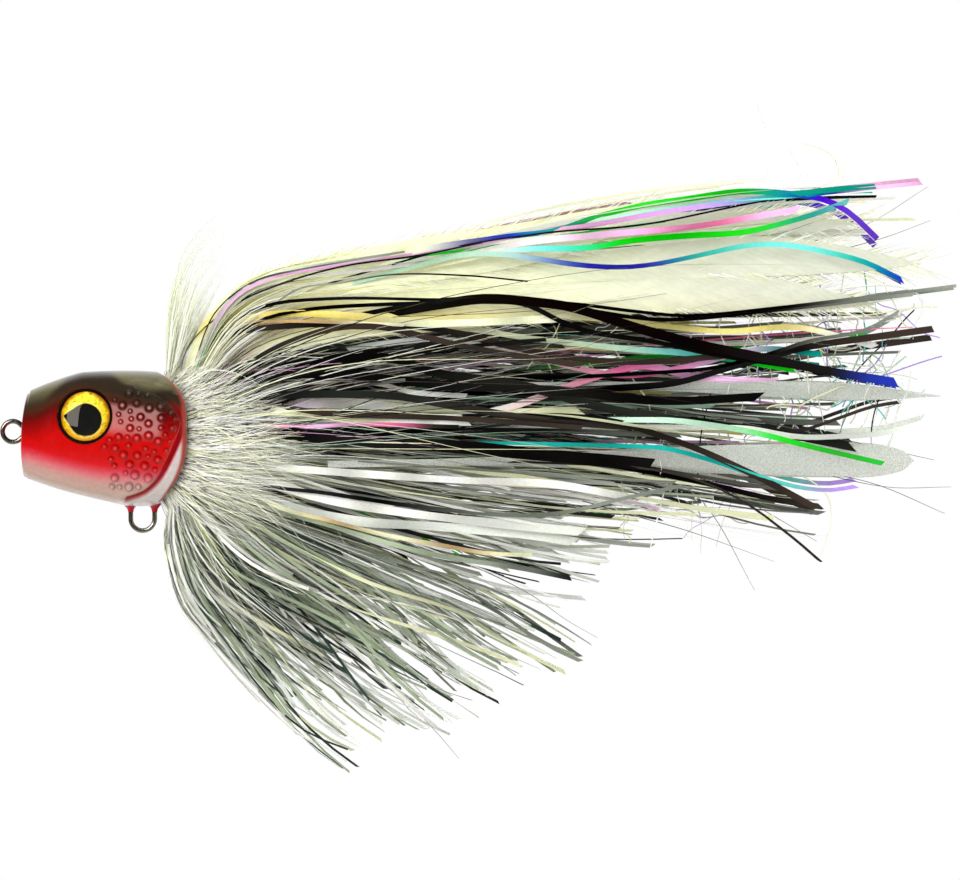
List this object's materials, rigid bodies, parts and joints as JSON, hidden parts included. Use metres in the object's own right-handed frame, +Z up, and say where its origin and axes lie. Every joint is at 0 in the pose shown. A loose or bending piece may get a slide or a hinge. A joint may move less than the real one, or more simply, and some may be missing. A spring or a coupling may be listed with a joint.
{
  "type": "topwater popper",
  "caption": "Cup-mouthed topwater popper: hollow painted head with wire line tie and hook hanger, rattle, domed eyes and a long lashed tail of hair, feather and flash.",
  "frame": {"origin": "the point inside the line tie's loop where a pulled line bears on the wire, on the head's middle plane", "axes": "+X runs back from the nose to the tail's tip, +Z up towards the crown, -Y out of the left cheek"},
  "size_m": [0.2472, 0.0542, 0.1723],
  "materials": {
    "head_paint": "airbrushed red with a dark olive crown and a pearl belly, under clear gloss",
    "hanger_wire": "bright drawn stainless wire",
    "iris_foil": "printed metallic gold foil with a black pupil",
    "eye_lens": "clear domed resin",
    "ballast": "plain cast slug",
    "rattle_tube": "clear tube",
    "rattle_ball": "polished steel balls",
    "tail_post": "moulded black",
    "tying_thread": "waxed tying thread",
    "bucktail": "cream and white hair with dark flecked roots",
    "hackle": "pale cream feathers with fine barbs",
    "pearl_flash": "iridescent green, blue and violet film strips",
    "black_flash": "glossy black film strips",
    "silver_flash": "holographic silver film strips with dark and green glints",
    "speckled_film": "silver film blades with fine dark speckle"
  },
  "bodies": {
    "head": {"head_shell_left": "head_paint", "head_shell_right": "head_paint", "line_tie": "hanger_wire", "hook_hanger": "hanger_wire", "eye_foil_left": "iris_foil", "eye_foil_right": "iris_foil", "eye_lens_left": "eye_lens", "eye_lens_right": "eye_lens", "belly_ballast": "ballast", "rattle_tube": "rattle_tube", "tail_post": "tail_post", "fibre_butts": "bucktail", "thread_wrap": "tying_thread", "hair_clump_top": "bucktail", "hair_clump_belly": "bucktail", "hair_clump_left": "bucktail", "hair_clump_right": "bucktail", "crest_plume": "bucktail", "belly_skirt": "silver_flash"},
    "rattle_ball_a": {"rattle_ball_1": "rattle_ball"},
    "rattle_ball_b": {"rattle_ball_2": "rattle_ball"},
    "rattle_ball_c": {"rattle_ball_3": "rattle_ball"},
    "tail": {"pearl_flash": "pearl_flash", "hackles_left": "hackle", "hackles_right": "hackle", "black_flash_left": "black_flash", "black_flash_right": "black_flash", "silver_flash": "silver_flash", "upper_blade_left": "speckled_film", "upper_blade_right": "speckled_film", "lower_blade_left": "speckled_film", "lower_blade_right": "speckled_film", "flash_wisp": "pearl_flash"}
  },
  "joints": [
    {"name": "tail_sway", "type": "hinge", "parent": "head", "child": "tail", "pos_m": [0.0525, 0, -0.0016], "axis": [0, 0, 1], "range_deg": [-20, 20], "stiffness_Nm_per_rad": 0.02, "deforming": ["hair_clump_top", "hair_clump_belly", "hair_clump_left", "hair_clump_right"]},
    {"name": "rattle_roll_1", "type": "slide", "parent": "head", "child": "rattle_ball_a", "axis": [0, 1, 0], "range_m": [-0.003, 0.003]},
    {"name": "rattle_roll_2", "type": "slide", "parent": "head", "child": "rattle_ball_b", "axis": [0, 1, 0], "range_m": [-0.003, 0.003]},
    {"name": "rattle_roll_3", "type": "slide", "parent": "head", "child": "rattle_ball_c", "axis": [0, 1, 0], "range_m": [-0.003, 0.003]}
  ],
  "couplings": [
    {"joint": "rattle_roll_2", "follows": "rattle_roll_1", "ratio": 1},
    {"joint": "rattle_roll_3", "follows": "rattle_roll_1", "ratio": 1}
  ]
}
